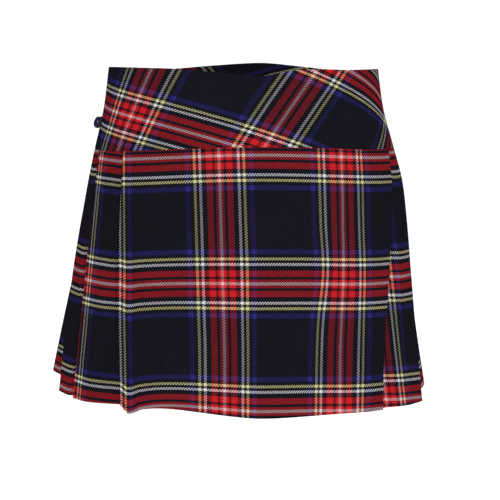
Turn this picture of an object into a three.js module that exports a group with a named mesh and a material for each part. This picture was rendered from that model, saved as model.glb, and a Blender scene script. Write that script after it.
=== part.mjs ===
import * as THREE from 'three';

// A mini kilt, filled out as when worn: a smooth yoke on the hips, a flat front apron with a knife
// fold down each edge, and knife pleats round both sides that meet in an inverted pleat at the
// centre back. Millimetres, +Z up, the front towards -Y, the origin in the middle of the waist rim.
// "Arc" is the distance round the garment from the centre front, "drop" the depth below the rim.

// Driving dimensions
const YOKE_DEPTH_FRONT = 73;
const YOKE_DEPTH_SIDE = 83.5;
const SETT = 132.5;
const YOKE_WALL = 2;
const SKIRT_WALL = 1.2;
const SEAM_GAP = 0.3;
const LAYER_PITCH = { seam: 1.8, hem: 4.4 };
const SIDE_SEAM_ARC = { rim: 196, seam: 222 };

// The outline at each level: its reach from the middle to the left, the right, the front and the
// back, and how far back of the middle its widest place lies
const LEVELS = [
  { drop: -10, left: 142, right: 142, front: 104, back: 104, widest: 0 },
  { drop: 0, left: 143, right: 143, front: 105, back: 105, widest: 0 },
  { drop: 42, left: 148.5, right: 149, front: 111, back: 113, widest: 0 },
  { drop: 84, left: 158, right: 160.5, front: 119, back: 124, widest: 2 },
  { drop: 118, left: 164.5, right: 169, front: 125, back: 131, widest: 8 },
  { drop: 160, left: 171.5, right: 174, front: 131, back: 139, widest: 18 },
  { drop: 220, left: 182, right: 180.5, front: 138, back: 148, widest: 36 },
  { drop: 290, left: 193.5, right: 189.5, front: 144.5, back: 158, widest: 58 },
  { drop: 360, left: 204.5, right: 200.5, front: 150, back: 168, widest: 80 },
];

// The rim dips at the centre front and is a little higher at both hips
const RIM = [
  { arc: -392, rise: 1 }, { arc: -360, rise: -1.1 }, { arc: -320, rise: -3.5 }, { arc: -290, rise: -2.8 },
  { arc: -240, rise: 1 }, { arc: -200, rise: 4 }, { arc: -160, rise: 6.3 }, { arc: -100, rise: 7.5 },
  { arc: -75, rise: 7 }, { arc: -33, rise: 4 }, { arc: 8, rise: 0 }, { arc: 42, rise: 5.5 },
  { arc: 81, rise: 5.8 }, { arc: 115, rise: 4 }, { arc: 200, rise: 0.5 }, { arc: 240, rise: -2.2 },
  { arc: 280, rise: -4.2 }, { arc: 320, rise: -1.5 }, { arc: 360, rise: 2 }, { arc: 392, rise: 1 },
];

// How far down the skirt each row of points lies, from the seam (0) to the hem (1), and where the
// apron's two folds lie on it
const ROWS = [
  { down: 0, leftFold: 144, rightFold: 178 },
  { down: 0.12, leftFold: 147, rightFold: 177.5 },
  { down: 0.3, leftFold: 150, rightFold: 175 },
  { down: 0.5, leftFold: 153, rightFold: 170.5 },
  { down: 0.68, leftFold: 152.5, rightFold: 163.5 },
  { down: 0.84, leftFold: 151, rightFold: 158.5 },
  { down: 1, leftFold: 149, rightFold: 156 },
];

// The apron's hem, with a shallow lift beside its left fold
const APRON_HEM = [
  { arc: -150, drop: 347 }, { arc: -144, drop: 351.5 }, { arc: -139, drop: 354.5 },
  { arc: -132, drop: 352.5 }, { arc: -124, drop: 349 }, { arc: -106, drop: 346 },
  { arc: -83, drop: 345.9 }, { arc: -55, drop: 348.3 }, { arc: -24, drop: 351.6 },
  { arc: 5, drop: 353.8 }, { arc: 62, drop: 353.4 }, { arc: 100, drop: 353.8 },
  { arc: 156, drop: 356.6 },
];
const APRON_UNDERFOLD = { seam: 36, hem: 24 };

// The apron is joined to the pleats inside its underfold, this far past the inner turn
const JOIN_PAST_TURN = 2;

// The pleats from the apron to the centre back: what shows of each at the seam and at the hem, its
// hem, and how far it fans out there. The last one of a side takes what is left.
const HEM_DROP_BACK = 337;
const PLEATS = {
  left: [
    { seamWidth: 48, hemWidth: 85, hemDrop: 350.5, fan: 0 },
    { seamWidth: 54, hemWidth: 43, hemDrop: 349, fan: 0 },
    { seamWidth: 64, hemWidth: 94, hemDrop: 336, fan: 4 },
    { seamWidth: 66, hemWidth: 94, hemDrop: 336, fan: 3 },
    { seamWidth: null, hemWidth: null, hemDrop: HEM_DROP_BACK, fan: 1 },
  ],
  right: [
    { seamWidth: 50, hemWidth: 82, hemDrop: 359, fan: 8 },
    { seamWidth: 54, hemWidth: 76, hemDrop: 352, fan: 3 },
    { seamWidth: 56, hemWidth: 84, hemDrop: 344, fan: 4 },
    { seamWidth: 56, hemWidth: 86, hemDrop: 340, fan: 3 },
    { seamWidth: null, hemWidth: null, hemDrop: HEM_DROP_BACK, fan: 1 },
  ],
};

// The deepest underfold, as a share of what shows of its pleat
const UNDERFOLD_SHARE = 0.7;

// The small folded tab of cloth on the left hip
const TAB = { arc: -203, drop: 55, height: 12.5, reach: 8, width: 9, rounding: 1.5 };

const { lerp, clamp } = THREE.MathUtils;

// Reads a smooth value out of a table of rows, between the two rows nearest to where
function read(table, key, column, where) {
  const last = table.length - 1;
  if (where <= table[0][key]) return table[0][column];
  if (where >= table[last][key]) return table[last][column];
  const i = table.findIndex((row) => row[key] > where) - 1;
  const [before, from, to, after] = [i - 1, i, i + 1, i + 2].map((n) => table[clamp(n, 0, last)]);
  const span = to[key] - from[key];
  const t = (where - from[key]) / span;
  const slope = (a, b) => (b[key] === a[key] ? 0 : ((b[column] - a[column]) / (b[key] - a[key])) * span);
  const [m0, m1] = [slope(before, to), slope(from, after)];
  const [t2, t3] = [t * t, t * t * t];
  return from[column] * (2 * t3 - 3 * t2 + 1) + m0 * (t3 - 2 * t2 + t)
    + to[column] * (3 * t2 - 2 * t3) + m1 * (t3 - t2);
}

// One side's half of the outline of a level, walked in equal steps of angle from the centre front
const OUTLINE_STEPS = 360;
const outlines = new Map();
function outline(side, drop) {
  const name = `${side} ${drop.toFixed(2)}`;
  if (outlines.has(name)) return outlines.get(name);
  const [halfWidth, front, back, widest] = [side < 0 ? 'left' : 'right', 'front', 'back', 'widest']
    .map((column) => read(LEVELS, 'drop', column, drop));
  const points = [];
  let length = 0;
  for (let i = 0; i <= OUTLINE_STEPS; i++) {
    const angle = (Math.PI * i) / OUTLINE_STEPS;
    const depth = Math.cos(angle) > 0 ? front + widest : back - widest;
    const point = new THREE.Vector2(halfWidth * Math.sin(angle), widest - depth * Math.cos(angle));
    if (i > 0) length += point.distanceTo(points[i - 1].point);
    points.push({ point, length });
  }
  outlines.set(name, points);
  return points;
}

function halfGirth(side, drop) {
  return outline(side, drop)[OUTLINE_STEPS].length;
}

// The place at a distance round the garment, moved out along the outline's normal
function place(arc, out, drop) {
  const side = arc < 0 ? -1 : 1;
  const points = outline(side, drop);
  const distance = Math.abs(arc);
  let i = points.findIndex((entry) => entry.length > distance);
  if (i < 1) i = distance > 1 ? OUTLINE_STEPS : 1;
  const [a, b] = [points[i - 1], points[i]];
  const t = (distance - a.length) / (b.length - a.length);
  const at = a.point.clone().lerp(b.point, t);
  const along = b.point.clone().sub(a.point).normalize();
  at.add(new THREE.Vector2(along.y, -along.x).multiplyScalar(out));
  return new THREE.Vector3(side * at.x, at.y, -drop);
}

// An arc that runs on past the centre back becomes one on the left side
function around(arc, { right, left } = { right: Infinity, left: 0 }) {
  return arc > right ? arc - right - left : arc;
}

function rimDrop(arc) {
  return -read(RIM, 'arc', 'rise', arc);
}

// The yoke is deeper at the sides than at the centre front
function seamDrop(arc) {
  const angle = Math.min(Math.abs(arc) / halfGirth(1, YOKE_DEPTH_SIDE), 0.5) * Math.PI;
  return lerp(YOKE_DEPTH_FRONT, YOKE_DEPTH_SIDE, Math.sin(angle) ** 2);
}

// Moves a line of {arc, out} points sideways by a distance, mitred at the bends
function offsetLine(line, distance) {
  const points = line.map(({ arc, out }) => new THREE.Vector2(arc, out));
  return points.map((point, i) => {
    const before = point.clone().sub(points[Math.max(i - 1, 0)]).normalize();
    const after = points[Math.min(i + 1, points.length - 1)].clone().sub(point).normalize();
    if (i === 0) before.copy(after);
    if (i === points.length - 1) after.copy(before);
    const middle = before.clone().add(after).normalize();
    const miter = Math.min(1 / Math.max(middle.dot(before), 0.5), 1.5);
    return { arc: point.x - middle.y * miter * distance, out: point.y + middle.x * miter * distance };
  });
}

// A wall of cloth: each row is a line of {arc, out, drop} points, all rows equally long. Where a
// wall crosses the centre back, its points also say how far round that is on each side.
function clothWall(name, rows, thickness, material) {
  const positions = [];
  const across = rows[0].length;
  for (const side of [1, -1]) {
    for (const row of rows) {
      const shifted = offsetLine(row, (side * thickness) / 2);
      shifted.forEach(({ arc, out }, i) => {
        positions.push(...place(around(arc, row[i].centreBack), out, row[i].drop));
      });
    }
  }
  const index = [];
  const quad = (a, b, c, d) => index.push(a, b, c, a, c, d);
  const vertex = (layer, row, i) => (layer * rows.length + row) * across + i;
  for (let row = 0; row + 1 < rows.length; row++) {
    for (let i = 0; i + 1 < across; i++) {
      quad(vertex(0, row, i), vertex(0, row + 1, i), vertex(0, row + 1, i + 1), vertex(0, row, i + 1));
      quad(vertex(1, row, i), vertex(1, row, i + 1), vertex(1, row + 1, i + 1), vertex(1, row + 1, i));
    }
    for (const [end, inner, outer] of [[0, 1, 0], [across - 1, 0, 1]]) {
      quad(vertex(inner, row, end), vertex(inner, row + 1, end), vertex(outer, row + 1, end),
        vertex(outer, row, end));
    }
  }
  for (let i = 0; i + 1 < across; i++) {
    for (const [row, near, far] of [[0, 1, 0], [rows.length - 1, 0, 1]]) {
      quad(vertex(near, row, i), vertex(far, row, i), vertex(far, row, i + 1), vertex(near, row, i + 1));
    }
  }
  const geometry = new THREE.BufferGeometry();
  geometry.setAttribute('position', new THREE.Float32BufferAttribute(positions, 3));
  geometry.setIndex(index);
  geometry.computeVertexNormals();
  const mesh = new THREE.Mesh(geometry, material);
  mesh.name = name;
  return mesh;
}

const wool = new THREE.MeshStandardMaterial({ color: 0x3a1a26, roughness: 0.9, metalness: 0 });
const yokeWool = new THREE.MeshStandardMaterial({ color: 0x2b1826, roughness: 0.9, metalness: 0 });
const navyWool = new THREE.MeshStandardMaterial({ color: 0x20203a, roughness: 0.9, metalness: 0 });

// The yoke's two halves, front and back, joined at the side seams and laid over the pleats' tops
const YOKE_ROWS = 5;
const YOKE_STEPS = 26;
const YOKE_OUT = LAYER_PITCH.seam + SKIRT_WALL / 2 - YOKE_WALL / 2;
function yoke(name, arcs) {
  const rows = [];
  for (let i = 0; i <= YOKE_ROWS; i++) {
    const down = i / YOKE_ROWS;
    const backDrop = lerp(0, YOKE_DEPTH_SIDE - SEAM_GAP / 2, down);
    const centreBack = { right: halfGirth(1, backDrop), left: halfGirth(-1, backDrop) };
    rows.push(arcs(down, centreBack).map((arc) => {
      const top = rimDrop(around(arc, centreBack));
      const drop = lerp(top, seamDrop(around(arc, centreBack)) - SEAM_GAP / 2, down);
      return { arc, out: YOKE_OUT, drop, centreBack };
    }));
  }
  return clothWall(name, rows, YOKE_WALL, yokeWool);
}

function sideSeam(down) {
  return lerp(SIDE_SEAM_ARC.rim, SIDE_SEAM_ARC.seam, down) - SEAM_GAP / 2;
}

function spread(from, to, steps) {
  return Array.from({ length: steps + 1 }, (_, i) => lerp(from, to, i / steps));
}

// The back yoke runs from the right side seam past the centre back to the left one
function backYokeArcs(down, centreBack) {
  const seam = sideSeam(down) + SEAM_GAP;
  return spread(seam, centreBack.right + centreBack.left - seam, YOKE_STEPS);
}

function centreBackArc(side, down) {
  return halfGirth(side, lerp(YOKE_DEPTH_SIDE + SEAM_GAP / 2, HEM_DROP_BACK, down)) - SEAM_GAP / 2;
}

// Fills in the widths of a side's pleats and returns where its folds lie, apron fold first
function foldArcs(side, row) {
  const first = side < 0 ? row.leftFold : row.rightFold;
  const end = centreBackArc(side, row.down) - layerPitch(row.down) / 2 - SKIRT_WALL;
  const folds = [first];
  const seamFirst = side < 0 ? ROWS[0].leftFold : ROWS[0].rightFold;
  const hemFirst = side < 0 ? ROWS[ROWS.length - 1].leftFold : ROWS[ROWS.length - 1].rightFold;
  let [seam, hem] = [seamFirst, hemFirst];
  for (const pleat of PLEATS[side < 0 ? 'left' : 'right']) {
    seam += pleat.seamWidth ?? 0;
    hem += pleat.hemWidth ?? 0;
    folds.push(pleat.seamWidth === null ? end : lerp(seam, hem, row.down));
  }
  return folds;
}

function layerPitch(down) {
  return lerp(LAYER_PITCH.seam, LAYER_PITCH.hem, down);
}

// The stack of layers beside a fold: the fold's own layer outside, its return, then the turn down
// to the next panel. Each point has the arc, the distance out and the hem below it.
function foldOver(fold, underfold, pitch, fan, hem, nextHem) {
  const between = (hem + nextHem) / 2;
  return [
    { arc: fold - underfold, out: pitch + fan / 2, hem },
    { arc: fold - underfold / 2, out: pitch + fan * 0.75, hem },
    { arc: fold, out: pitch + fan, hem },
    { arc: fold + pitch / 2, out: (pitch + fan) / 2, hem },
    { arc: fold, out: 0, hem },
    { arc: fold - underfold / 2, out: 0, hem: (hem + between) / 2 },
    { arc: fold - underfold, out: 0, hem: between },
    { arc: fold - underfold - pitch / 2, out: -pitch / 2, hem: between },
  ];
}

function pleatedSide(side) {
  const table = PLEATS[side < 0 ? 'left' : 'right'];
  const rows = ROWS.map((row) => {
    const pitch = layerPitch(row.down);
    const folds = foldArcs(side, row);
    const apronUnderfold = lerp(APRON_UNDERFOLD.seam, APRON_UNDERFOLD.hem, row.down);
    const line = [];
    let underfold = apronUnderfold;
    table.forEach((pleat, n) => {
      const [from, to] = [folds[n], folds[n + 1]];
      const start = from - underfold + (n === 0 ? JOIN_PAST_TURN + SEAM_GAP : 0);
      line.push(
        { arc: start, out: -pitch, hem: pleat.hemDrop },
        { arc: from - underfold / 2, out: -pitch, hem: pleat.hemDrop },
        { arc: from + pitch, out: -pitch, hem: pleat.hemDrop },
      );
      underfold = Math.min((SETT - (to - from)) / 2, (to - from) * UNDERFOLD_SHARE);
      const next = table[n + 1]?.hemDrop ?? pleat.hemDrop;
      for (const t of [1 / 3, 2 / 3]) {
        line.push({
          arc: lerp(from + pitch, to - underfold, t), out: pitch * (2 * t * t * (3 - 2 * t) - 1),
          hem: pleat.hemDrop,
        });
      }
      line.push(...foldOver(to, underfold, pitch, pleat.fan * row.down, pleat.hemDrop, next));
    });
    const end = folds[folds.length - 1];
    for (const arc of [end - underfold, end - underfold / 2, centreBackArc(side, row.down)]) {
      line.push({ arc, out: -pitch, hem: HEM_DROP_BACK });
    }
    const placed = line.map(({ arc, out, hem }) => ({
      arc: side * arc, out, drop: lerp(seamDrop(arc) + SEAM_GAP / 2, hem, row.down),
    }));
    return side > 0 ? placed : placed.reverse();
  });
  return clothWall(side < 0 ? 'pleats_left' : 'pleats_right', rows, SKIRT_WALL, wool);
}

const APRON_STEPS = 14;
function apron() {
  const rows = ROWS.map((row) => {
    const pitch = layerPitch(row.down);
    const underfold = lerp(APRON_UNDERFOLD.seam, APRON_UNDERFOLD.hem, row.down);
    const hemAt = (arc) => read(APRON_HEM, 'arc', 'drop', arc);
    const edge = (side) => {
      const fold = side < 0 ? row.leftFold : row.rightFold;
      const next = PLEATS[side < 0 ? 'left' : 'right'][0].hemDrop;
      const points = foldOver(fold, underfold, pitch, 0, next, next)
        .map((point) => ({ ...point, hem: hemAt(side * Math.min(point.arc, fold)) }));
      points.push({ arc: fold - underfold, out: -pitch, hem: next });
      points.push({ arc: fold - underfold + JOIN_PAST_TURN, out: -pitch, hem: next });
      return points.map((point) => ({ ...point, arc: side * point.arc }));
    };
    const [left, right] = [edge(-1).reverse(), edge(1)];
    const middle = spread(left[left.length - 1].arc, right[0].arc, APRON_STEPS).slice(1, -1)
      .map((arc, i) => {
        const nearEdge = Math.abs((2 * (i + 1)) / APRON_STEPS - 1) ** 3;
        return { arc, out: pitch * nearEdge, hem: hemAt(arc) };
      });
    return [...left, ...middle, ...right].map(({ arc, out, hem }) => ({
      arc, out, drop: lerp(seamDrop(arc) + SEAM_GAP / 2, hem, row.down),
    }));
  });
  return clothWall('front_apron', rows, SKIRT_WALL, wool);
}

// A folded end of cloth, round at its outer edge, that stands out from the yoke beside its seam
function sideTab() {
  const outlineShape = new THREE.Shape();
  const half = TAB.height / 2;
  outlineShape.moveTo(0, -half * 0.9);
  outlineShape.bezierCurveTo(TAB.reach * 0.5, -half * 0.9, TAB.reach, -half * 0.5, TAB.reach, half * 0.1);
  outlineShape.bezierCurveTo(TAB.reach, half * 0.6, TAB.reach * 0.6, half, 0, half);
  outlineShape.closePath();
  const geometry = new THREE.ExtrudeGeometry(outlineShape, {
    depth: TAB.width - 2 * TAB.rounding, bevelEnabled: true, bevelThickness: TAB.rounding,
    bevelSize: TAB.rounding, bevelOffset: -TAB.rounding, bevelSegments: 2, curveSegments: 5,
  });
  geometry.translate(0, 0, TAB.rounding - TAB.width / 2);
  const mesh = new THREE.Mesh(geometry, navyWool);
  mesh.name = 'side_tab';
  const onYoke = (drop) => place(TAB.arc, YOKE_OUT + YOKE_WALL / 2 + SEAM_GAP * 1.5, drop);
  const seat = onYoke(TAB.drop);
  const up = onYoke(TAB.drop - half).sub(onYoke(TAB.drop + half)).normalize();
  const across = place(TAB.arc, 20, TAB.drop).sub(place(TAB.arc, 0, TAB.drop)).cross(up).normalize();
  const frame = new THREE.Matrix4().makeBasis(up.clone().cross(across), up, across);
  mesh.setRotationFromMatrix(frame);
  mesh.position.copy(seat);
  return mesh;
}

const kilt = new THREE.Group();
kilt.add(
  yoke('yoke_front', (down) => spread(-sideSeam(down), sideSeam(down), YOKE_STEPS)),
  yoke('yoke_back', backYokeArcs),
  apron(),
  pleatedSide(-1),
  pleatedSide(1),
  sideTab(),
);

export default kilt;
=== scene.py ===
import math
import bpy
import numpy as np
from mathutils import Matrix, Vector


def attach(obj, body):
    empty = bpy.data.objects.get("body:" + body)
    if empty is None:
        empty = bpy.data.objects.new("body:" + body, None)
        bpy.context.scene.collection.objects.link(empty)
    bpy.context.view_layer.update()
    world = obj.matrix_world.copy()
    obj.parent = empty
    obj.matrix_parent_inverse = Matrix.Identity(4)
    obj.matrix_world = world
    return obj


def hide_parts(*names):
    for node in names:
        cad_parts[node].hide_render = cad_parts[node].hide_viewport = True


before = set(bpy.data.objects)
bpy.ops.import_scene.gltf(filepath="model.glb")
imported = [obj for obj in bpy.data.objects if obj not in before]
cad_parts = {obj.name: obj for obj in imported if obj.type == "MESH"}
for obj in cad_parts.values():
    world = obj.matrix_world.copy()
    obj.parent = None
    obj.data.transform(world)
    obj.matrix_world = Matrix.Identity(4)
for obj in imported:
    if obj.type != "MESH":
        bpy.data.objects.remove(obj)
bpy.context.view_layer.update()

# The camera and the studio, in metres.
# A long lens a little above the waist, standing slightly to the wearer's right, over a plain
# pale floor that sweeps up behind, under broad soft light.
CAMERA_DISTANCE = 3.2
CAMERA_HEIGHT = 0.187
CAMERA_ASIDE = 0.007
CAMERA_AZIMUTH = math.radians(-4.6)
CAMERA_PITCH = math.radians(6.8)
CAMERA_LENS_MM = 214.1
SENSOR_WIDTH_MM = 36
CAMERA_SEES_TO = 60
FLOOR_HEIGHT = -0.62
FLOOR_REACH = 14.0
SWEEP_RADIUS = 2.2
SWEEP_STEPS = 12
BACKDROP_Y = 6.5
BACKDROP_TOP = 9.0
FLOOR_WHITE = (0.93, 0.93, 0.93, 1)
FLOOR_ROUGHNESS = 0.9
FLOOR_GLOW = 0.2
PURE_WHITE = (1, 1, 1, 1)
ROOM_LIGHT = 0.42

out_from_centre = Vector((math.sin(CAMERA_AZIMUTH), -math.cos(CAMERA_AZIMUTH), 0))
to_the_right = Vector((math.cos(CAMERA_AZIMUTH), math.sin(CAMERA_AZIMUTH), 0))
camera_data = bpy.data.cameras.new("camera")
camera_data.lens = CAMERA_LENS_MM
camera_data.sensor_width = SENSOR_WIDTH_MM
camera_data.clip_end = CAMERA_SEES_TO
camera = bpy.data.objects.new("camera", camera_data)
bpy.context.scene.collection.objects.link(camera)
camera.location = (out_from_centre * CAMERA_DISTANCE + to_the_right * CAMERA_ASIDE
                   + Vector((0, 0, CAMERA_HEIGHT)))
camera.rotation_euler = (math.pi / 2 - CAMERA_PITCH, 0, CAMERA_AZIMUTH)
bpy.context.scene.camera = camera
bpy.context.scene.view_settings.view_transform = "Standard"
bpy.context.scene.cycles.use_denoising = False

studio_white = bpy.data.materials.new("studio_white")
studio_white.use_nodes = True
floor_shader = studio_white.node_tree.nodes["Principled BSDF"]
floor_shader.inputs["Base Color"].default_value = FLOOR_WHITE
floor_shader.inputs["Roughness"].default_value = FLOOR_ROUGHNESS
floor_shader.inputs["Emission Color"].default_value = PURE_WHITE
floor_shader.inputs["Emission Strength"].default_value = FLOOR_GLOW

sweep_profile = [(-FLOOR_REACH, FLOOR_HEIGHT)]
for step in range(SWEEP_STEPS + 1):
    turn = math.pi / 2 * step / SWEEP_STEPS
    sweep_profile.append((BACKDROP_Y - SWEEP_RADIUS + SWEEP_RADIUS * math.sin(turn),
                          FLOOR_HEIGHT + SWEEP_RADIUS * (1 - math.cos(turn))))
sweep_profile.append((BACKDROP_Y, BACKDROP_TOP))
sweep_mesh = bpy.data.meshes.new("floor")
sweep_mesh.from_pydata(
    [(x, y, z) for y, z in sweep_profile for x in (-FLOOR_REACH, FLOOR_REACH)], [],
    [(2 * i, 2 * i + 1, 2 * i + 3, 2 * i + 2) for i in range(len(sweep_profile) - 1)])
floor = bpy.data.objects.new("floor", sweep_mesh)
bpy.context.scene.collection.objects.link(floor)
floor.data.materials.append(studio_white)
for face in floor.data.polygons:
    face.use_smooth = True

world = bpy.data.worlds.new("studio")
bpy.context.scene.world = world
world.use_nodes = True
world.node_tree.nodes["Background"].inputs["Color"].default_value = PURE_WHITE
world.node_tree.nodes["Background"].inputs["Strength"].default_value = ROOM_LIGHT

KILT_MIDDLE = (0, 0, -0.2)
FOOT_OF_BACKDROP = (0, 5.2, 0)
LIGHTS = [
    {"name": "key_light", "place": (0.2, -3.0, 1.3), "size": 1.4, "watts": 27, "aim": KILT_MIDDLE},
    {"name": "fill_light", "place": (1.3, -2.5, 0.5), "size": 1.6, "watts": 1.5, "aim": KILT_MIDDLE},
    {"name": "top_light", "place": (0, -0.3, 2.4), "size": 1.6, "watts": 6, "aim": KILT_MIDDLE},
    {"name": "backdrop_light", "place": (0, 1.6, 3.2), "size": 3.0, "watts": 120, "aim": FOOT_OF_BACKDROP},
]
for row in LIGHTS:
    light_data = bpy.data.lights.new(row["name"], "AREA")
    light_data.shape = "SQUARE"
    light_data.size = row["size"]
    light_data.energy = row["watts"]
    light = bpy.data.objects.new(row["name"], light_data)
    bpy.context.scene.collection.objects.link(light)
    light.location = row["place"]
    facing = Vector(row["aim"]) - Vector(row["place"])
    light.rotation_euler = facing.to_track_quat("-Z", "Y").to_euler()


# The yoke: the smooth band on the hips.
# Two layers of tartan twill, cut on the bias in a front and a back half, joined at the hips,
# and turned in at the rim. It laps over the tops of the pleats.

# From here on sizes are in millimetres, and left and right are as seen from the front: side -1 is
# the left and 1 the right. The arc is the way round from the centre front, below 0 to the left.
# The drop is the depth below the rim, and out is how far a point stands off the outline.
MM = 0.001
YOKE_DEPTH_FRONT = 73
YOKE_DEPTH_SIDE = 83.5
YOKE_WALL = 2
SKIRT_WALL = 1.2
SEAM_GAP = 0.3
LAYER_PITCH_SEAM = 1.8
SIDE_SEAM_RIM = 196
SIDE_SEAM_BELOW = 222
YOKE_OUT = LAYER_PITCH_SEAM + SKIRT_WALL / 2 - YOKE_WALL / 2

# At each drop: the reach to the left, right, front and back, and how far back the widest place is
LEVELS = [
    {"drop": -10, "left": 142, "right": 142, "front": 104, "back": 104, "widest": 0},
    {"drop": 0, "left": 143, "right": 143, "front": 105, "back": 105, "widest": 0},
    {"drop": 42, "left": 148.5, "right": 149, "front": 111, "back": 113, "widest": 0},
    {"drop": 84, "left": 158, "right": 160.5, "front": 119, "back": 124, "widest": 2},
    {"drop": 118, "left": 164.5, "right": 169, "front": 125, "back": 131, "widest": 8},
    {"drop": 160, "left": 171.5, "right": 174, "front": 131, "back": 139, "widest": 18},
    {"drop": 220, "left": 182, "right": 180.5, "front": 138, "back": 148, "widest": 36},
    {"drop": 290, "left": 193.5, "right": 189.5, "front": 144.5, "back": 158, "widest": 58},
    {"drop": 360, "left": 204.5, "right": 200.5, "front": 150, "back": 168, "widest": 80},
]

# The rim dips at the centre front, stands a little higher on both sides of it, and dips again
# halfway from each hip to the centre back
RIM = [
    {"arc": -392, "rise": 1}, {"arc": -360, "rise": -1.1}, {"arc": -320, "rise": -3.5},
    {"arc": -290, "rise": -2.8}, {"arc": -240, "rise": 1}, {"arc": -200, "rise": 4},
    {"arc": -160, "rise": 6.3}, {"arc": -100, "rise": 7.5}, {"arc": -75, "rise": 7},
    {"arc": -33, "rise": 4}, {"arc": 8, "rise": 0}, {"arc": 42, "rise": 5.5},
    {"arc": 81, "rise": 5.8}, {"arc": 115, "rise": 4}, {"arc": 200, "rise": 0.5},
    {"arc": 240, "rise": -2.2}, {"arc": 280, "rise": -4.2}, {"arc": 320, "rise": -1.5},
    {"arc": 360, "rise": 2}, {"arc": 392, "rise": 1},
]
OUTLINE_ANGLES = np.linspace(0, math.pi, 181)


def stretch(start, end, share):
    """The value at a share of the way from start to end."""
    return start + (end - start) * share


def read(table, key, column, where):
    """Smooth values out of a table's column at the places in where."""
    x = np.array([row[key] for row in table], float)
    y = np.array([row[column] for row in table], float)
    where = np.clip(np.asarray(where, float), x[0], x[-1])
    slope = np.empty_like(y)
    slope[1:-1] = (y[2:] - y[:-2]) / (x[2:] - x[:-2])
    slope[0] = (y[1] - y[0]) / (x[1] - x[0])
    slope[-1] = (y[-1] - y[-2]) / (x[-1] - x[-2])
    i = np.clip(np.searchsorted(x, where, side="right") - 1, 0, len(x) - 2)
    span = x[i + 1] - x[i]
    t = (where - x[i]) / span
    return (y[i] * (2 * t**3 - 3 * t**2 + 1) + slope[i] * span * (t**3 - 2 * t**2 + t)
            + y[i + 1] * (3 * t**2 - 2 * t**3) + slope[i + 1] * span * (t**3 - t**2))


def outlines(side, drop):
    """Half of the outline at each drop, from the centre front round to the centre back."""
    half_width = read(LEVELS, "drop", "left" if side < 0 else "right", drop)[:, None]
    front, back, widest = [read(LEVELS, "drop", c, drop)[:, None] for c in ("front", "back", "widest")]
    depth = np.where(np.cos(OUTLINE_ANGLES) > 0, front + widest, back - widest)
    x = half_width * np.sin(OUTLINE_ANGLES)
    y = widest - depth * np.cos(OUTLINE_ANGLES)
    steps = np.hypot(np.diff(x, axis=1), np.diff(y, axis=1))
    length = np.concatenate([np.zeros((len(x), 1)), np.cumsum(steps, axis=1)], axis=1)
    return x, y, length


def half_girth(side, drop):
    """The arc of the centre back at each drop."""
    return outlines(side, np.atleast_1d(np.asarray(drop, float)))[2][:, -1]


def place(arc, out, drop):
    """Points at distances round the garment from the centre front, moved out along the normal."""
    arc, out, drop = [np.asarray(a, float).ravel() for a in np.broadcast_arrays(arc, out, drop)]
    points = np.zeros((len(arc), 3))
    for side in (-1, 1):
        chosen = np.flatnonzero(arc < 0 if side < 0 else arc >= 0)
        if len(chosen) == 0:
            continue
        x, y, length = outlines(side, drop[chosen])
        distance = np.abs(arc[chosen])
        i = np.clip((length <= distance[:, None]).sum(axis=1), 1, len(OUTLINE_ANGLES) - 1)
        row = np.arange(len(chosen))
        dx, dy = x[row, i] - x[row, i - 1], y[row, i] - y[row, i - 1]
        step = np.hypot(dx, dy)
        t = (distance - length[row, i - 1]) / step
        points[chosen, 0] = side * (x[row, i - 1] + dx * t + dy / step * out[chosen])
        points[chosen, 1] = y[row, i - 1] + dy * t - dx / step * out[chosen]
        points[chosen, 2] = -drop[chosen]
    return points


def seam_drop(arc):
    """The yoke is deeper at the sides than at the centre front."""
    angle = np.minimum(np.abs(arc) / half_girth(1, YOKE_DEPTH_SIDE)[0], 0.5) * math.pi
    return YOKE_DEPTH_FRONT + (YOKE_DEPTH_SIDE - YOKE_DEPTH_FRONT) * np.sin(angle) ** 2


def srgb(red, green, blue):
    """A colour as it looks on a screen, 0 to 255, as the linear colour that shaders take."""
    values = [c / 255 for c in (red, green, blue)]
    return tuple(c / 12.92 if c <= 0.04045 else ((c + 0.055) / 1.055) ** 2.4 for c in values) + (1,)


BLACK_YARN = srgb(28, 27, 35)
RED_YARN = srgb(217, 37, 42)
BLUE_YARN = srgb(50, 46, 126)
WHITE_YARN = srgb(246, 246, 252)
YELLOW_YARN = srgb(234, 230, 164)
PINK_YARN = srgb(246, 206, 210)

# Half a repeat of the tartan in threads, from the middle of the red band to the middle of the ground
THREADS = [
    (2, PINK_YARN), (4, RED_YARN), (4, BLACK_YARN), (9, RED_YARN), (7, BLACK_YARN), (4, WHITE_YARN),
    (4, BLACK_YARN), (4, YELLOW_YARN), (5, BLACK_YARN), (7, BLUE_YARN), (43, BLACK_YARN),
]
HALF_REPEAT = sum(count for count, colour in THREADS)
REPEAT = 2 * HALF_REPEAT
TWILL_THREADS = 4

# How much of its own colour a yarn shows where it lies on top. The rest is the darker of the two yarns:
# partly the fuzz of the yarn beneath, and partly painted shade standing for the shadows between the
# rounded yarns
WEFT_SHOWS = 0.69
WARP_SHOWS = 0.385

# The yarn's loose fibres and the cloth's uneven shade, and how high each yarn stands
FIBRES = {"scale": 2600.0, "detail": 2.0, "roughness": 0.6}
UNEVENNESS = {"scale": 22.0, "detail": 3.0, "roughness": 0.55}
FIBRE_SHADE = 0.55
UNEVEN_SHADE = 0.28
DARKEST_SHADE = 0.60
YARN_HEIGHT = 0.6
FLOAT_HEIGHT = 0.45
FIBRE_HEIGHT = 0.5
WEAVE_BUMP = 0.55
WEAVE_DEPTH = 0.35 * MM
WOOL_ROUGHNESS = 0.88
SHARP_EDGE = math.radians(50)


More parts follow.
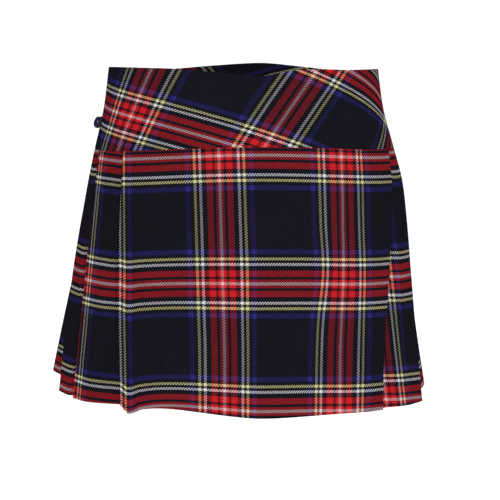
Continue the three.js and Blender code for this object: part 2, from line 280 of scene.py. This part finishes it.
class Nodes:
    """Adds the nodes of one material, one call each, and joins them as they are added."""

    def __init__(self, name):
        self.material = bpy.data.materials.new(name)
        self.material.use_nodes = True
        self.tree = self.material.node_tree
        self.shader = self.tree.nodes["Principled BSDF"]

    def add(self, kind, inputs=(), **settings):
        node = self.tree.nodes.new(kind)
        for name, value in settings.items():
            setattr(node, name, value)
        for socket, value in dict(inputs).items():
            if isinstance(value, bpy.types.NodeSocket):
                self.tree.links.new(value, node.inputs[socket])
            else:
                node.inputs[socket].default_value = value
        return node

    def math(self, operation, *values):
        return self.add("ShaderNodeMath", dict(enumerate(values)), operation=operation).outputs[0]

    def mix(self, factor, a, b, blend="MIX"):
        node = self.add("ShaderNodeMix", {0: factor, 6: a, 7: b}, data_type="RGBA", blend_type=blend)
        return node.outputs[2]

    def noise(self, scale, detail, roughness):
        on_cloth = self.add("ShaderNodeTexCoord").outputs["Object"]
        return self.add("ShaderNodeTexNoise", {"Vector": on_cloth, "Scale": scale, "Detail": detail,
                                               "Roughness": roughness}).outputs[0]

    def shaded(self, colour, shade):
        grey = self.add("ShaderNodeCombineColor", {0: shade, 1: shade, 2: shade}).outputs[0]
        return self.mix(1.0, colour, grey, "MULTIPLY")

    def set(self, **values):
        for name, value in values.items():
            socket = self.shader.inputs[name.replace("_", " ")]
            if isinstance(value, bpy.types.NodeSocket):
                self.tree.links.new(value, socket)
            else:
                socket.default_value = value


def tartan_cloth(name):
    """Twill woven from striped warp and weft: the UV map counts repeats across and down the cloth."""
    nodes = Nodes(name)
    uv = nodes.add("ShaderNodeUVMap", uv_map="cloth").outputs[0]
    split = nodes.add("ShaderNodeSeparateXYZ", {0: uv})
    across, down = split.outputs[0], split.outputs[1]

    def yarn(along):
        to_middle = nodes.math("MULTIPLY", nodes.math("PINGPONG", along, 0.5), 2.0)
        ramp = nodes.add("ShaderNodeValToRGB", {0: to_middle})
        ramp.color_ramp.interpolation = "CONSTANT"
        stops = ramp.color_ramp.elements
        start = 0
        for number, (count, colour) in enumerate(THREADS):
            stop = stops[number] if number < 2 else stops.new(start / HALF_REPEAT)
            stop.position = start / HALF_REPEAT
            stop.color = colour
            start += count
        return ramp.outputs[0]

    warp, weft = yarn(across), yarn(down)
    end = nodes.math("MULTIPLY", across, float(REPEAT))
    pick = nodes.math("MULTIPLY", down, float(REPEAT))
    whole_end, whole_pick = nodes.math("FLOOR", end), nodes.math("FLOOR", pick)
    step = nodes.math("FLOORED_MODULO", nodes.math("ADD", whole_end, whole_pick), float(TWILL_THREADS))
    warp_on_top = nodes.math("LESS_THAN", step, TWILL_THREADS / 2 - 0.5)
    weft_on_top = nodes.math("SUBTRACT", 1.0, warp_on_top)

    top = nodes.mix(warp_on_top, weft, warp)
    # Painted shade in the weave: the yarn on top is dulled towards the darker of the two yarns, for the
    # shadows between the rounded yarns and partly for the fuzz of the yarn beneath
    weave_shade_and_fuzz = nodes.mix(1.0, warp, weft, "DARKEN")
    shows = nodes.math("ADD", WEFT_SHOWS, nodes.math("MULTIPLY", warp_on_top, WARP_SHOWS - WEFT_SHOWS))
    woven = nodes.mix(shows, weave_shade_and_fuzz, top)

    fibres = nodes.noise(**FIBRES)
    uneven = nodes.noise(**UNEVENNESS)
    shade = nodes.math("ADD", nodes.math("MULTIPLY", fibres, FIBRE_SHADE),
                       nodes.math("MULTIPLY", uneven, UNEVEN_SHADE))
    shade = nodes.math("ADD", shade, DARKEST_SHADE)

    def yarn_height(own, other, whole_own, first, on_top):
        """A yarn is round across, and arches along each float over the yarns that it crosses."""
        centred = nodes.math("SUBTRACT", nodes.math("FRACT", own), 0.5)
        square = nodes.math("MULTIPLY", nodes.math("MULTIPLY", centred, centred), 4.0)
        rounded = nodes.math("SUBTRACT", 1.0, square)
        run = nodes.math("ADD", nodes.math("ADD", other, whole_own), first)
        run = nodes.math("FLOORED_MODULO", run, float(TWILL_THREADS))
        arch = nodes.math("SINE", nodes.math("MULTIPLY", run, math.pi / 2))
        arched = nodes.math("ADD", nodes.math("MULTIPLY", arch, FLOAT_HEIGHT), YARN_HEIGHT)
        return nodes.math("MULTIPLY", nodes.math("MULTIPLY", rounded, arched), on_top)

    warp_height = yarn_height(end, pick, whole_end, 0.0, warp_on_top)
    weft_height = yarn_height(pick, end, whole_pick, TWILL_THREADS / 2, weft_on_top)
    height = nodes.math("ADD", nodes.math("ADD", warp_height, weft_height),
                        nodes.math("MULTIPLY", fibres, FIBRE_HEIGHT))
    bump = nodes.add("ShaderNodeBump", {"Strength": WEAVE_BUMP, "Distance": WEAVE_DEPTH, "Height": height})
    nodes.set(Base_Color=nodes.shaded(woven, shade), Roughness=WOOL_ROUGHNESS, Normal=bump.outputs[0],
              Specular_IOR_Level=0.0)
    return nodes.material


def cloth_sheet(name, points, cloth, wall, material):
    """A wall of cloth over a grid of points in millimetres, with repeats of the tartan as its UVs."""
    rows, columns = points.shape[:2]
    index = np.arange(rows * columns).reshape(rows, columns)
    corners = [index[:-1, :-1], index[1:, :-1], index[1:, 1:], index[:-1, 1:]]
    faces = np.stack([c.ravel() for c in corners], axis=1)
    mesh = bpy.data.meshes.new(name)
    mesh.from_pydata((points.reshape(-1, 3) * MM).tolist(), [], faces.tolist())
    layer = mesh.uv_layers.new(name="cloth")
    layer.data.foreach_set("uv", cloth.reshape(-1, 2)[faces.ravel()].ravel())
    piece = bpy.data.objects.new(name, mesh)
    bpy.context.scene.collection.objects.link(piece)
    bpy.ops.object.select_all(action="DESELECT")
    piece.select_set(True)
    bpy.context.view_layer.objects.active = piece
    wall_modifier = piece.modifiers.new("wall", "SOLIDIFY")
    wall_modifier.thickness = wall * MM
    wall_modifier.offset = 0
    bpy.ops.object.modifier_apply(modifier="wall")
    bpy.ops.object.shade_smooth_by_angle(angle=SHARP_EDGE)
    piece.data.materials.append(material)
    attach(piece, "root")
    return piece


# The bias cut. One set of bands leans across the yoke and the other descends over it. Each has its
# tilt, its spacing and where its count of repeats starts on each half; the bias stretches the first.
YOKE_CUT_RADIUS = 800
LEANING_TILT = math.radians(31.9)
LEANING_SPACING = 146.9
LEANING_SHEAR = 0.00075
UNSHEARED_ARC = -60
DESCENDING_TILT = math.radians(17.9)
DESCENDING_SPACING = 118.3
FRONT_STARTS = {"first_leaning": 0.6548, "first_descending": -0.6186}
BACK_STARTS = {"first_leaning": 0.649, "first_descending": 0.622}

# The front half's shallow ripples, which weave from side to side and fade at the rim and seam
RIPPLE_HEIGHT = 0.5
RIPPLE_LENGTH = 19
RIPPLE_WEAVE = 1.3
RIPPLE_WEAVE_LENGTH = 40
RIPPLE_FADE_LENGTH = 63
YOKE_ROWS = 40
YOKE_COLUMNS = 220
yoke_material = tartan_cloth("yoke_tartan")


def side_seam(down):
    """The arc of the side seam, where the front half ends."""
    return stretch(SIDE_SEAM_RIM, SIDE_SEAM_BELOW, down) - SEAM_GAP / 2


def bias_grain(arc, drop, first_leaning, first_descending):
    """Repeats of the tartan counted along the bias cut's two thread directions."""
    radius = YOKE_CUT_RADIUS + drop
    x, y = radius * np.sin(arc / radius), radius * np.cos(arc / radius) - YOKE_CUT_RADIUS
    shear = (y - YOKE_DEPTH_SIDE / 2) * LEANING_SHEAR * (x - UNSHEARED_ARC)
    leaning = (x * np.cos(LEANING_TILT) + y * np.sin(LEANING_TILT) + shear) / LEANING_SPACING
    descending = (y * np.cos(DESCENDING_TILT) - x * np.sin(DESCENDING_TILT)) / DESCENDING_SPACING
    return np.stack([leaning + first_leaning, descending + first_descending], axis=-1)


def yoke_drop(arc, down):
    """From the rim at 0 to just above the seam at 1."""
    rim = -read(RIM, "arc", "rise", arc)
    return stretch(rim, seam_drop(arc) - SEAM_GAP / 2, down)


down = np.linspace(0, 1, YOKE_ROWS + 1)[:, None]
arc = np.linspace(-1, 1, YOKE_COLUMNS + 1)[None, :] * side_seam(down)
drop = yoke_drop(arc, down)
weave = RIPPLE_WEAVE * np.sin(drop / RIPPLE_WEAVE_LENGTH)
ripple = RIPPLE_HEIGHT * np.sin(arc / RIPPLE_LENGTH + weave)
ripple *= np.sin(math.pi * down) * np.sin(arc / RIPPLE_FADE_LENGTH)
points = place(arc, YOKE_OUT + ripple, drop).reshape(YOKE_ROWS + 1, -1, 3)
yoke_front = cloth_sheet("yoke_front_cloth", points, bias_grain(arc, drop, **FRONT_STARTS),
                         YOKE_WALL, yoke_material)
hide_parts("yoke_front")

back_drop = ((YOKE_DEPTH_SIDE - SEAM_GAP / 2) * down).ravel()
right_girth, left_girth = half_girth(1, back_drop)[:, None], half_girth(-1, back_drop)[:, None]
seam = side_seam(down) + SEAM_GAP
run = seam + np.linspace(0, 1, YOKE_COLUMNS + 1)[None, :] * (right_girth + left_girth - 2 * seam)
arc = np.where(run > right_girth, run - right_girth - left_girth, run)
drop = yoke_drop(arc, down)
points = place(arc, YOKE_OUT, drop).reshape(YOKE_ROWS + 1, -1, 3)
yoke_back = cloth_sheet("yoke_back_cloth", points, bias_grain(run - right_girth, drop, **BACK_STARTS),
                        YOKE_WALL, yoke_material)
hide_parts("yoke_back")


# The front apron: one flat panel on the straight grain.
# Wool-blend twill with a knife fold pressed down each edge; the cloth turns back under itself
# there. Its hem lifts a little beside the left fold.
SETT = 132.5
LAYER_PITCH_HEM = 4.4
SKIRT_ROWS = 100
APRON_MIDDLE_STEPS = 130
APRON_EDGE_RISE = 3
APRON_UNDERFOLD_SEAM = 36
APRON_UNDERFOLD_HEM = 24
JOIN_PAST_TURN = 2
FIRST_BAND_ARC = -33.8
FIRST_BAND_BELOW_SEAM = 8.3

# The arc of the two folds, by the share of the way down from the seam at 0 to the hem at 1
APRON_FOLDS = [
    {"down": 0, "left_fold": 144, "right_fold": 178},
    {"down": 0.12, "left_fold": 147, "right_fold": 177.5},
    {"down": 0.3, "left_fold": 150, "right_fold": 175},
    {"down": 0.5, "left_fold": 153, "right_fold": 170.5},
    {"down": 0.68, "left_fold": 152.5, "right_fold": 163.5},
    {"down": 0.84, "left_fold": 151, "right_fold": 158.5},
    {"down": 1, "left_fold": 149, "right_fold": 156},
]
APRON_HEM = [
    {"arc": -150, "drop": 347}, {"arc": -144, "drop": 351.5}, {"arc": -139, "drop": 354.5},
    {"arc": -132, "drop": 352.5}, {"arc": -124, "drop": 349}, {"arc": -106, "drop": 346},
    {"arc": -83, "drop": 345.9}, {"arc": -55, "drop": 348.3}, {"arc": -24, "drop": 351.6},
    {"arc": 5, "drop": 353.8}, {"arc": 62, "drop": 353.4}, {"arc": 100, "drop": 353.8},
    {"arc": 156, "drop": 356.6},
]

# How far the hanging cloth has swung sideways from the straight, at a few lines down the apron
SWING_ARCS = {"left_fold": -150, "left_band": -34, "near": 73, "right_band": 99, "far": 125,
              "right_fold": 165}
APRON_SWING = [
    {"down": 0, "left_fold": -3.2, "left_band": -1.2, "near": -1.5, "right_band": 0, "far": 0.5,
     "right_fold": 4},
    {"down": 0.28, "left_fold": -3.2, "left_band": 0.3, "near": 0, "right_band": 0.8, "far": 2,
     "right_fold": 5},
    {"down": 0.46, "left_fold": -3, "left_band": 1.2, "near": 2.6, "right_band": 1.4, "far": 4,
     "right_fold": 6},
    {"down": 0.64, "left_fold": -3.6, "left_band": 2.2, "near": -3.4, "right_band": -1.2, "far": 2.4,
     "right_fold": 8},
    {"down": 0.76, "left_fold": -3, "left_band": 2.8, "near": -5.4, "right_band": -3, "far": 1,
     "right_fold": 10},
    {"down": 1, "left_fold": -1.5, "left_band": 2.4, "near": -7, "right_band": -4, "far": -1.5,
     "right_fold": 10},
]

# Shallow waves between the folds, and a swell beside the left one, all growing towards the hem
WAVES = [
    {"length": 17, "shift": 0.6, "height": 0.5},
    {"length": 41, "shift": -0.8, "height": 1.0},
]
WAVE_GROWTH = 1.5
SWELL_ARC = -112
SWELL_WIDTH = 13
SWELL_HEIGHT = 1.6
SWELL_GROWTH = 1.3
SWAY_REACH = 140

# Faint creases left by pressing, each between two shares of the way down
CREASES = [
    {"arc": -95, "lean": -3, "width": 3.5, "height": 0.55, "from": 0.02, "to": 0.62},
    {"arc": -117, "lean": 0, "width": 3, "height": 0.45, "from": 0.5, "to": 0.98},
    {"arc": -98, "lean": 4, "width": 4, "height": 0.5, "from": 0.52, "to": 0.98},
    {"arc": 40, "lean": 2, "width": 5, "height": 0.4, "from": 0.04, "to": 0.5},
    {"arc": 58, "lean": 5, "width": 5, "height": 0.5, "from": 0.5, "to": 0.98},
]
CREASE_FADE = 0.15

# Where the hem lifts above its level, the stripes lift with it, most of all in the last rows
HEM_LEVEL = 353.8
STRIPE_LIFT = 0.75
STRIPE_LIFT_GROWTH = 1.5
LAST_ROWS_LIFT = 3
LAST_ROWS_FROM = 0.9

# A turned edge: how far it reaches at most, the cloth it takes up, and the steps of a fold's parts
TURN_REACH = 2.4
TURN_CLOTH = 2
FOLD_STEPS = {"top": 14, "turn": 10, "under": 12, "inner_turn": 8}
skirt_material = tartan_cloth("skirt_tartan")


def layer_pitch(share):
    """From the middle of one layer of cloth to the middle of the next."""
    return stretch(LAYER_PITCH_SEAM, LAYER_PITCH_HEM, share)


class Line:
    """The cloth's edge-on line at one row: runs of {arc, out, hem, cloth} points, finely spaced."""

    def __init__(self):
        self.columns = {"arc": [], "out": [], "hem": [], "cloth": []}

    def run(self, steps, arc, out, hem, cloth, ease=False):
        """From the first to the second of each pair. With ease, out bends gently at both ends."""
        t = np.linspace(0, 1, steps, endpoint=False)
        rise = t * t * (3 - 2 * t) if ease else t
        for name, (start, end), share in (("arc", arc, t), ("out", out, rise), ("hem", hem, t),
                                          ("cloth", cloth, t)):
            self.columns[name].append(stretch(start, end, share))

    def turn(self, steps, arc, out, hem, cloth, side):
        """Half a circle from one layer to the next, round the fold."""
        t = np.linspace(0, 1, steps, endpoint=False)
        middle, radius = (out[0] + out[1]) / 2, abs(out[0] - out[1]) / 2
        self.columns["arc"].append(arc + side * min(radius, TURN_REACH) * np.sin(math.pi * t))
        self.columns["out"].append(middle + (out[0] - middle) * np.cos(math.pi * t))
        self.columns["hem"].append(np.full(steps, float(hem)))
        self.columns["cloth"].append(stretch(cloth[0], cloth[1], t))

    def end(self, arc, out, hem, cloth):
        for name, value in (("arc", arc), ("out", out), ("hem", hem), ("cloth", cloth)):
            self.columns[name].append(np.array([float(value)]))

    def done(self):
        return {name: np.concatenate(parts) for name, parts in self.columns.items()}


def fold_over(line, fold, underfold, pitch, fan, hem, next_hem, cloth):
    """The fold's top layer, the turn, the return under it and the inner turn to the next panel."""
    inner, between = fold - underfold, (hem + next_hem) / 2
    turned = cloth + TURN_CLOTH
    returned = turned + underfold
    line.run(FOLD_STEPS["top"], (inner, fold), (pitch + fan / 2, pitch + fan), (hem, hem),
             (cloth - underfold, cloth), ease=True)
    line.turn(FOLD_STEPS["turn"], fold, (pitch + fan, 0), hem, (cloth, turned), 1)
    line.run(FOLD_STEPS["under"], (fold, inner), (0, 0), (hem, between), (turned, returned))
    line.turn(FOLD_STEPS["inner_turn"], inner, (0, -pitch), between, (returned, returned + TURN_CLOTH), -1)


def skirt_grid(rows, side):
    """The grid of a skirt panel from its rows, with the share of the way down and the cloth's place."""
    names = ("arc", "out", "hem", "cloth")
    arc, out, hem, cloth = [np.stack([row[name] for row in rows]) for name in names]
    share = np.linspace(0, 1, len(rows))[:, None]
    drop = stretch(seam_drop(side * arc) + SEAM_GAP / 2, hem, share)
    return side * arc, out, drop, share, cloth


def straight_grain(cloth, below_seam):
    """Repeats of the tartan counted across and down the cloth from its first red bands."""
    return np.stack([cloth / SETT, (below_seam - FIRST_BAND_BELOW_SEAM) / SETT], axis=-1)


def swing(arc, share):
    """The apron's swing at one row, eased from each of the table's places to the next."""
    at = np.array(list(SWING_ARCS.values()), float)
    by = np.array([float(read(APRON_SWING, "down", column, share)) for column in SWING_ARCS])
    i = np.clip(np.searchsorted(at, arc) - 1, 0, len(at) - 2)
    t = np.clip((arc - at[i]) / (at[i + 1] - at[i]), 0, 1)
    return by[i] + (by[i + 1] - by[i]) * t * t * (3 - 2 * t)


def apron_edge(side, column, share):
    """One row of an edge of the apron: its fold, the underfold and the join to the first pleat."""
    pitch = layer_pitch(share)
    underfold = stretch(APRON_UNDERFOLD_SEAM, APRON_UNDERFOLD_HEM, share)
    fold = float(read(APRON_FOLDS, "down", column, share))
    cloth = fold - side * FIRST_BAND_ARC
    line = Line()
    fold_over(line, fold, underfold, pitch, fan=0, hem=0, next_hem=0, cloth=cloth)
    inner, joined = fold - underfold, fold - underfold + JOIN_PAST_TURN
    turned_in = cloth + 2 * TURN_CLOTH + underfold
    line.run(2, (inner, joined), (-pitch, -pitch), (0, 0), (turned_in, turned_in + JOIN_PAST_TURN))
    line.end(joined, -pitch, 0, turned_in + JOIN_PAST_TURN)
    edge = line.done()
    edge["hem"] = read(APRON_HEM, "arc", "drop", side * np.minimum(edge["arc"], fold))
    edge["arc"], edge["cloth"] = side * edge["arc"], side * edge["cloth"]
    return edge


rows = []
for share in np.linspace(0, 1, SKIRT_ROWS + 1):
    left = {name: values[::-1] for name, values in apron_edge(-1, "left_fold", share).items()}
    right = apron_edge(1, "right_fold", share)
    t = np.linspace(0, 1, APRON_MIDDLE_STEPS + 1)[1:-1]
    arc = stretch(left["arc"][-1], right["arc"][0], t)
    middle = {"arc": arc, "out": layer_pitch(share) * np.abs(2 * t - 1) ** APRON_EDGE_RISE,
              "hem": read(APRON_HEM, "arc", "drop", arc), "cloth": arc - FIRST_BAND_ARC}
    row = {name: np.concatenate([left[name], middle[name], right[name]]) for name in middle}
    row["cloth"] = row["cloth"] - swing(row["arc"], share)
    rows.append(row)
arc, out, drop, share, cloth = skirt_grid(rows, 1)

sway = sum(np.sin(arc / wave["length"] + wave["shift"]) * wave["height"] for wave in WAVES)
sway *= share**WAVE_GROWTH
sway += SWELL_HEIGHT * np.exp(-((arc - SWELL_ARC) / SWELL_WIDTH) ** 2) * share**SWELL_GROWTH
for crease in CREASES:
    begun = np.clip((share - crease["from"]) / CREASE_FADE, 0, 1)
    not_ended = np.clip((crease["to"] - share) / CREASE_FADE, 0, 1)
    aside = (arc - crease["arc"] - crease["lean"] * share) / crease["width"]
    sway += crease["height"] * np.exp(-aside**2) * (begun * not_ended)
sway *= np.abs(arc) < SWAY_REACH

hem_lift = np.clip(HEM_LEVEL - read(APRON_HEM, "arc", "drop", arc), 0, None)
lifted = STRIPE_LIFT * share**STRIPE_LIFT_GROWTH + LAST_ROWS_LIFT * np.clip(share - LAST_ROWS_FROM, 0, 1)
grain = straight_grain(cloth, drop - seam_drop(arc) + hem_lift * lifted)
points = place(arc, out + sway, drop).reshape(*arc.shape, 3)
front_apron = cloth_sheet("front_apron_cloth", points, grain, SKIRT_WALL, skirt_material)
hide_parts("front_apron")


# The knife pleats: five on each side, from inside the apron's underfold to the centre back.
# The same twill, about one repeat of it in each pleat, pressed in layers with every fold turned
# away from the front. The two last folds meet over an inverted pleat.
HEM_DROP_BACK = 337
UNDERFOLD_SHARE = 0.7
PLEAT_STEPS = {"start": 14, "face": 18, "centre_back": 16}

# A pleat's fold stands past the one before it by "seam" at the seam and by "hem" at the hem, and
# the last one stands at the centre back. Its hem hangs at "drop", where the fold stands out by
# "fan". Pairs are for the seam and the hem: "from_band" is the cloth from a red band to the fold,
# "higher" is how far the stripes are raised, and "tilt" is what they lose of that by the fold.
PLEATS = {
    -1: [
        {"seam": 48, "hem": 85, "drop": 350.5, "fan": 0, "from_band": (-15, -10), "higher": (-3.5, 4),
         "tilt": (-4, -3)},
        {"seam": 54, "hem": 43, "drop": 349, "fan": 0, "from_band": (86, 86), "higher": (7, 14)},
        {"seam": 64, "hem": 94, "drop": 336, "fan": 4, "from_band": (-5, -5), "higher": (10, 27)},
        {"seam": 66, "hem": 94, "drop": 336, "fan": 3, "from_band": (-5, -5), "higher": (6, 12)},
        {"drop": HEM_DROP_BACK, "fan": 1, "from_band": (-5, -5), "higher": (4, 8)},
    ],
    1: [
        {"seam": 50, "hem": 82, "drop": 359, "fan": 8, "from_band": (86, 63.5), "higher": (4, 8),
         "tilt": (0, 6)},
        {"seam": 54, "hem": 76, "drop": 352, "fan": 3, "from_band": (76, 70), "higher": (4, 8)},
        {"seam": 56, "hem": 84, "drop": 344, "fan": 4, "from_band": (76, 70), "higher": (6, 9)},
        {"seam": 56, "hem": 86, "drop": 340, "fan": 3, "from_band": (76, 76), "higher": (5, 9)},
        {"drop": HEM_DROP_BACK, "fan": 1, "from_band": (76, 76), "higher": (4, 8)},
    ],
}
NO_TILT = (0, 0)
TILT_FROM = 0.18
TILT_TO = 0.6


def centre_back_arc(side, share):
    drop = stretch(YOKE_DEPTH_SIDE + SEAM_GAP / 2, HEM_DROP_BACK, share)
    return float(half_girth(side, drop)[0]) - SEAM_GAP / 2


def pleat_row(side, share):
    """One row of a pleated side, from the join inside the apron to the centre back."""
    pleats = PLEATS[side]
    column = "left_fold" if side < 0 else "right_fold"
    pitch = layer_pitch(share)
    back = centre_back_arc(side, share)
    fold = float(read(APRON_FOLDS, "down", column, share))
    seam_fold, hem_fold = APRON_FOLDS[0][column], APRON_FOLDS[-1][column]
    underfold = stretch(APRON_UNDERFOLD_SEAM, APRON_UNDERFOLD_HEM, share)
    start = fold - underfold + (JOIN_PAST_TURN + SEAM_GAP)
    start_hem = min(pleats[0]["drop"], float(read(APRON_HEM, "arc", "drop", side * fold)))
    line = Line()
    for number, pleat in enumerate(pleats):
        last = number == len(pleats) - 1
        if last:
            next_fold, next_hem = back - pitch / 2 - SKIRT_WALL, HEM_DROP_BACK
        else:
            seam_fold, hem_fold = seam_fold + pleat["seam"], hem_fold + pleat["hem"]
            next_fold, next_hem = stretch(seam_fold, hem_fold, share), pleats[number + 1]["drop"]
        spacing = next_fold - fold
        underfold = min((SETT - spacing) / 2, spacing * UNDERFOLD_SHARE)
        bend, inner = fold + pitch, next_fold - underfold
        hem, fan = pleat["drop"], pleat["fan"] * share
        cloth = stretch(*pleat["from_band"], share)
        at_bend = cloth - (next_fold - bend)
        line.run(PLEAT_STEPS["start"], (start, bend), (-pitch, -pitch), (start_hem, start_hem),
                 (cloth - (next_fold - start), at_bend))
        line.run(PLEAT_STEPS["face"], (bend, inner), (-pitch, pitch + fan / 2), (start_hem, hem),
                 (at_bend, cloth - underfold), ease=True)
        fold_over(line, next_fold, underfold, pitch, fan, hem, next_hem, cloth)
        fold, start, start_hem = next_fold, inner, next_hem
    turned_in = cloth + underfold + 2 * TURN_CLOTH
    line.run(PLEAT_STEPS["centre_back"], (start, back), (-pitch, -pitch), (HEM_DROP_BACK, HEM_DROP_BACK),
             (turned_in, turned_in + back - start))
    line.end(back, -pitch, HEM_DROP_BACK, turned_in + back - start)
    return line.done()


def pleated_side(side, name):
    rows = [pleat_row(side, share) for share in np.linspace(0, 1, SKIRT_ROWS + 1)]
    arc, out, drop, share, cloth = skirt_grid(rows, side)

    # The columns are shared out evenly between the pleats
    pleats, columns = PLEATS[side], arc.shape[1]
    through = np.arange(columns) * len(pleats) / columns
    owner = [pleats[number] for number in np.arange(columns) * len(pleats) // columns]
    higher = np.array([pleat["higher"] for pleat in owner], float)
    tilt = np.array([pleat.get("tilt", NO_TILT) for pleat in owner], float)
    tilted = np.clip((through % 1 - TILT_FROM) / (TILT_TO - TILT_FROM), 0, 1)
    raised = stretch(higher[:, 0], higher[:, 1], share) - stretch(tilt[:, 0], tilt[:, 1], share) * tilted
    grain = straight_grain(side * cloth, drop - seam_drop(arc) + raised)
    points = place(arc, out, drop).reshape(*arc.shape, 3)
    if side < 0:
        points, grain = points[:, ::-1], grain[:, ::-1]
    piece = cloth_sheet(name + "_cloth", points, grain, SKIRT_WALL, skirt_material)
    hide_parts(name)


pleated_side(-1, "pleats_left")
pleated_side(1, "pleats_right")


# The side tab: a small tab that stands out from the wearer's right hip.
# A narrow strip of plain navy cloth, folded over and over into a pad, and caught to the yoke by
# its edge.
TAB_ARC = -203
TAB_DROP = 55
TAB_WIDTH = 9
TAB_WALL = 1.1
TAB_HALF_HEIGHT = 6.25
TAB_REACH = 9
TAB_TURNS = 3
TAB_FIRST_ANGLE = -1.45 * math.pi
TAB_LAYER_PITCH = 1.22
TAB_STEPS = 150
TAB_COLUMNS = 8
FLAT_AGAINST_YOKE = 0.35
NAVY_YARN = srgb(50, 46, 74)
NAVY_FIBRES = {"scale": 1900.0, "detail": 2.0, "roughness": 0.6}
NAVY_FIBRE_SHADE = 0.8
NAVY_DARKEST_SHADE = 0.6
NAVY_BUMP = 0.5
NAVY_DEPTH = 0.3 * MM
NAVY_ROUGHNESS = 0.9

tab_nodes = Nodes("tab_navy")
fibres = tab_nodes.noise(**NAVY_FIBRES)
shade = tab_nodes.math("ADD", tab_nodes.math("MULTIPLY", fibres, NAVY_FIBRE_SHADE), NAVY_DARKEST_SHADE)
bump = tab_nodes.add("ShaderNodeBump", {"Strength": NAVY_BUMP, "Distance": NAVY_DEPTH, "Height": fibres})
tab_nodes.set(Base_Color=tab_nodes.shaded(NAVY_YARN, shade), Roughness=NAVY_ROUGHNESS,
              Normal=bump.outputs[0], Specular_IOR_Level=0.0)

# The strip winds inwards, a layer's pitch each turn, and lies flat where it meets the yoke
wound = np.linspace(0, 2 * math.pi * TAB_TURNS, TAB_STEPS + 1)
angle = TAB_FIRST_ANGLE + wound
inset = TAB_WALL / 2 + (angle - angle[0]) / (2 * math.pi) * TAB_LAYER_PITCH
flattened = np.where(np.cos(angle) < 0, -np.abs(np.cos(angle)) ** FLAT_AGAINST_YOKE, np.cos(angle))
outward = TAB_REACH / 2 + flattened * (TAB_REACH / 2 - inset)
upward = np.sin(angle) * (TAB_HALF_HEIGHT - inset)

# The directions at its seat on the yoke: up the cloth, across the tab and straight off the cloth
SPAN_UP = 6
SPAN_OUT = 20
seat_out = YOKE_OUT + YOKE_WALL / 2 - SEAM_GAP
below, seat, above = place(TAB_ARC, seat_out, np.array([TAB_DROP + SPAN_UP, TAB_DROP, TAB_DROP - SPAN_UP]))
up_the_yoke = (above - below) / np.linalg.norm(above - below)
outside = place(TAB_ARC, [seat_out, seat_out + SPAN_OUT], TAB_DROP)
across_tab = np.cross(outside[1] - outside[0], up_the_yoke)
across_tab /= np.linalg.norm(across_tab)
off_the_yoke = np.cross(up_the_yoke, across_tab)
across_steps = np.linspace(-TAB_WIDTH / 2, TAB_WIDTH / 2, TAB_COLUMNS + 1)[None, :, None]
points = (seat + outward[:, None, None] * off_the_yoke + upward[:, None, None] * up_the_yoke
          + across_steps * across_tab)
cloth = np.stack(np.broadcast_arrays(across_steps[:, :, 0] / SETT, angle[:, None] / SETT), axis=-1)
side_tab = cloth_sheet("side_tab_cloth", points, cloth, TAB_WALL, tab_nodes.material)
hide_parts("side_tab")
